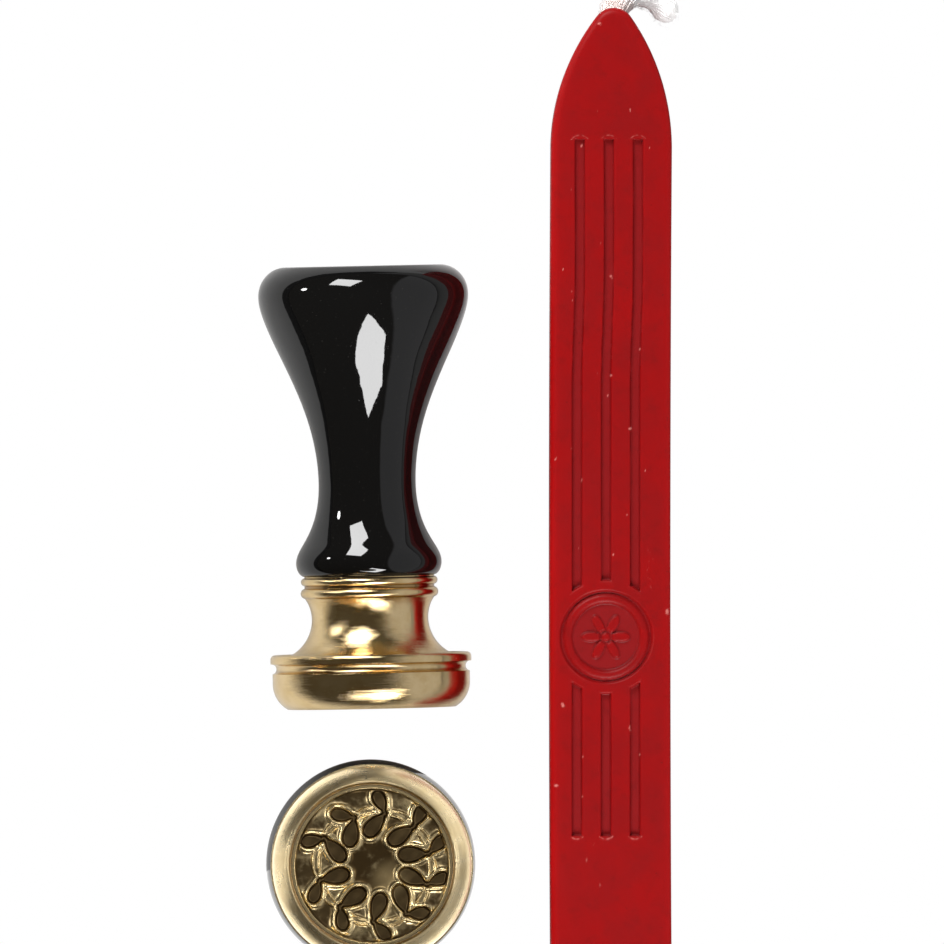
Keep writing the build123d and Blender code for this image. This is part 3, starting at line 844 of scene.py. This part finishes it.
# crumbs of wax: across, along, size and slant, the larger ones first
crumbs = [
    (-4.85, 69.4, 0.15, 0.9), (5.55, 60.1, 0.16, 1.5), (-5.5, 77.4, 0.13, 0.3), (-1.2, 1.6, 0.12, 0.2),
    (1.85, 10.2, 0.08, 1.4),
]
for _ in range(52):
    beside = luck.choice(line_xs) + luck.choice([-1, 1]) * luck.normal(0.52, 0.05)
    place = luck.choice([luck.uniform(3, 57), luck.uniform(68, 97)])
    crumb_x = beside if luck.random() < 0.75 else luck.uniform(-5.6, 5.6)
    crumbs.append((crumb_x, place, 0.04 + 0.07 * luck.random() ** 2, luck.uniform(0, pi)))

wax = Finish("red_sealing_wax")
drawn = wax.node("Attribute", {"attribute_name": "drawing"}, {}, "Vector")
pale = wax.node("Attribute", {"attribute_name": "pale"}, {}, "Fac")
sunk = wax.node("Attribute", {"attribute_name": "sunk"}, {}, "Fac")
cloud = wax.noise(0.28, 3.0, 0.55, drawn)
grain = wax.noise(5.5, 3.0, 0.6, drawn)
soot = wax.noise(1.7, 2.0, 0.5, drawn).rise(0.72, 0.79)
smudge = wax.noise(0.62, 5.0, 0.7, drawn).rise(0.50, 0.72)
face_red = wax.mix(cloud.rise(0.3, 0.7), (0.31, 0.0032, 0.0040, 1), (0.26, 0.0036, 0.0046, 1))
# the brighter, redder wax near the edges and towards the left side is painted light, shining through the thin
# edges and falling from the left
edge = wax.node("Attribute", {"attribute_name": "edge"}, {}, "Fac")
face_red = wax.mix((edge + (cloud - 0.5) * 0.4).rise(0.05, 1.1), face_red, (0.44, 0.0030, 0.0040, 1))
with_floor = wax.mix(sunk.rise(0.12, 0.32), face_red, (0.25, 0.0075, 0.0090, 1))
with_soot = wax.mix((soot * 0.6).larger(smudge * 0.22), with_floor, (0.11, 0.006, 0.006, 1))
wax.principled(
    Base_Color=wax.mix(pale.rise(0.12, 0.75), with_soot, (0.62, 0.17, 0.15, 1)),
    Specular_IOR_Level=0.15,
    Roughness=0.34 + cloud * 0.10 + grain * 0.08,
    Normal=wax.bump(grain + cloud * 2.0, 0.00002, 0.5),
    Subsurface_Weight=0.18,
    Subsurface_Radius=(0.0016, 0.0003, 0.0002),
    Subsurface_Scale=1.0,
)
stick_place = Matrix.LocRotScale(tip, None, Vector((mm, mm, mm)))
stick_surface, stick_pale, stick_sunk, stick_edge_glow = wax_surface()
make_piece(
    "moulded_wax_stick", stick_surface, stick_place, wax, "wax_stick", "wax_body", "wax",
    sharp=75, pale=stick_pale, sunk=stick_sunk, edge=stick_edge_glow,
)


# ---- Wick ----
# A soft cotton wick runs through the stick and leaves it at the point, where it bends over to the right
# and droops to the table. Its strands are loosely twisted, hairs stand off them, and its end is rounded.
wick_radius, core_height = 1.5, 5.0
core_radius, skin_radius = 1.275, 1.15  # of the soft core, and where the hairs leave it
bend_radius, bend_from_tip, bend_turn, end_run, soft_end = 3.4, 1.85, radians(135), 1.0, 1.2
wick_reach = bend_radius * (1 - cos(bend_turn)) + end_run * sin(bend_turn)
above_table = 0.1
wick_droop = np.arcsin((core_height - wick_radius - above_table) / wick_reach)


def wick_line(count, start=-3.0):
    """Points along the wick's middle, and the two directions across it: straight up the stick, then an
    arc that turns right in a plane drooping to the table, then a short straight end."""
    bend_length = bend_radius * bend_turn
    d = np.linspace(start, bend_length + end_run + soft_end, count)
    turn = np.clip(d, 0, bend_length) / bend_radius
    past = np.clip(d - bend_length, 0, None)
    out = bend_radius * (1 - np.cos(turn)) + past * np.sin(turn)
    up = bend_radius * np.sin(turn) + np.minimum(d, 0) + past * np.cos(turn)
    level, fall = np.cos(wick_droop), np.sin(wick_droop)
    middle = np.stack([out * level, up - bend_from_tip, core_height - out * fall], -1)
    heading = np.stack([np.sin(turn) * level, np.cos(turn), -np.sin(turn) * fall], -1)
    square = np.array([fall, 0, level]) + 0 * middle
    return d, middle, np.cross(heading, square), square


def tube(path, across, square, radius, sides):
    """A tube round a path: at each of its points, a ring of that radius in the two directions across."""
    angle = np.linspace(0, 2 * pi, sides, endpoint=False)[None, :, None]
    ring = np.cos(angle) * across[:, None] + np.sin(angle) * square[:, None]
    points = path[:, None] + radius[:, None, None] * ring
    return points.reshape(-1, 3), grid_faces(len(path), sides, False, True)


def joined(surfaces):
    """Several surfaces as one, with their faces renumbered."""
    starts = np.cumsum([0] + [len(points) for points, _ in surfaces])
    return (
        np.vstack([points for points, _ in surfaces]),
        np.vstack([faces + start for (_, faces), start in zip(surfaces, starts)]),
    )


def drawn_in(d, radius, over):
    """The radius, drawn in to nothing at both ends as the end of an ellipse is: times the root of
    1 - (1 - distance from the end / over) squared."""
    near = np.clip(np.minimum(d - d[0], d[-1] - d) / over, 0, 1)
    return radius * np.sqrt(1 - (1 - near) ** 2)


def strands(count=84, length=120):
    """A soft core and the strands laid round it, each going a quarter of a turn round the wick. The
    core's radius swells and shrinks a little along it, and the free end is rounded like a brush's."""
    d, middle, across, square = wick_line(length)
    body = drawn_in(d, core_radius + 0.04 * np.sin(2.3 * d + 0.5) + 0.02 * np.sin(5.9 * d), 1.5)
    made = [tube(middle, across, square, body, 48)]
    fate = np.random.default_rng(5)
    for k in range(count):
        twist = 2 * pi * k / count + 0.12 * d + 0.10 * np.sin(1.3 * d + fate.uniform(0, 6))
        lift = body * fate.uniform(0.94, 0.98) + 0.03 * np.sin(2.1 * d + fate.uniform(0, 6))
        path = middle + lift[:, None] * (np.cos(twist)[:, None] * across + np.sin(twist)[:, None] * square)
        made.append(tube(path, across, square, drawn_in(d, fate.uniform(0.06, 0.10), 0.8), 6))
    return made


def hairs(count=420, points=10):
    """Single fibres that leave the wick: each starts on its skin, at a random angle and place, and curls
    off it along the wick or back. A third of them stand by the stick's point, most on its left."""
    d, middle, across, square = wick_line(400)
    room = np.array(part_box("wick")[1] - tip) / mm - 0.03
    fate = np.random.default_rng(11)
    span = np.linspace(0, 1, points)[:, None]
    made = []
    for k in range(count):
        near_point = k % 3 == 0
        at = int(fate.uniform(60, 170)) if near_point else int(400 * (1 - fate.beta(1.1, 2.2)) * 0.96)
        angle = fate.normal(pi, 0.7) if near_point else fate.uniform(0, 2 * pi)
        skin = np.cos(angle) * across[at] + np.sin(angle) * square[at]
        along = np.cross(square[at], across[at])
        run, lift, curl = fate.uniform(-1.5, 1.5), fate.uniform(0.03, 0.5), fate.uniform(0, 6)
        path = middle[at] + skin * (skin_radius + lift * np.sin(span * 2.5)) + along * run * span
        path = path + 0.10 * np.sin(span * 6 + curl) * square[at] + 0.06 * np.sin(span * 9 + curl) * skin
        path = np.clip(path, (-9, -9, 0.06), room)
        thickness = fate.uniform(0.012, 0.024) * np.sin(np.linspace(0.12, pi - 0.12, points))
        made.append(tube(path, skin + 0 * path, np.cross(along, skin) + 0 * path, thickness, 5))
    return made


cotton = Finish("spun_cotton")
drawn = cotton.node("Attribute", {"attribute_name": "drawing"}, {}, "Vector")
fibre = cotton.noise(7.0, 5.0, 0.7, drawn)
stained = cotton.noise(0.5, 2.0, 0.5, drawn)
# the wick is painted pinkish brown near the stick's point, fading towards its end: painted shade and painted
# red light thrown from the wax, with some dirt and random stains
tip_shade_fade = cotton.node("SeparateXYZ", {}, {"Vector": drawn}, "X").rise(0.3, 4.2)
cotton.principled(
    Base_Color=cotton.mix(
        (stained + 0.45 - tip_shade_fade).rise(0.35, 1.0), (0.93, 0.925, 0.92, 1), (0.66, 0.56, 0.53, 1)
    ),
    Specular_IOR_Level=0.1,
    Roughness=0.9 + fibre * 0.1,
    Normal=cotton.bump(fibre, 0.00004, 0.5),
    Sheen_Weight=0.3,
)
wick = make_piece(
    "cotton_wick", joined(strands() + hairs()), stick_place, cotton, "wax_stick", "wick", "cotton", sharp=80,
)
lit["wick"].objects.link(wick)
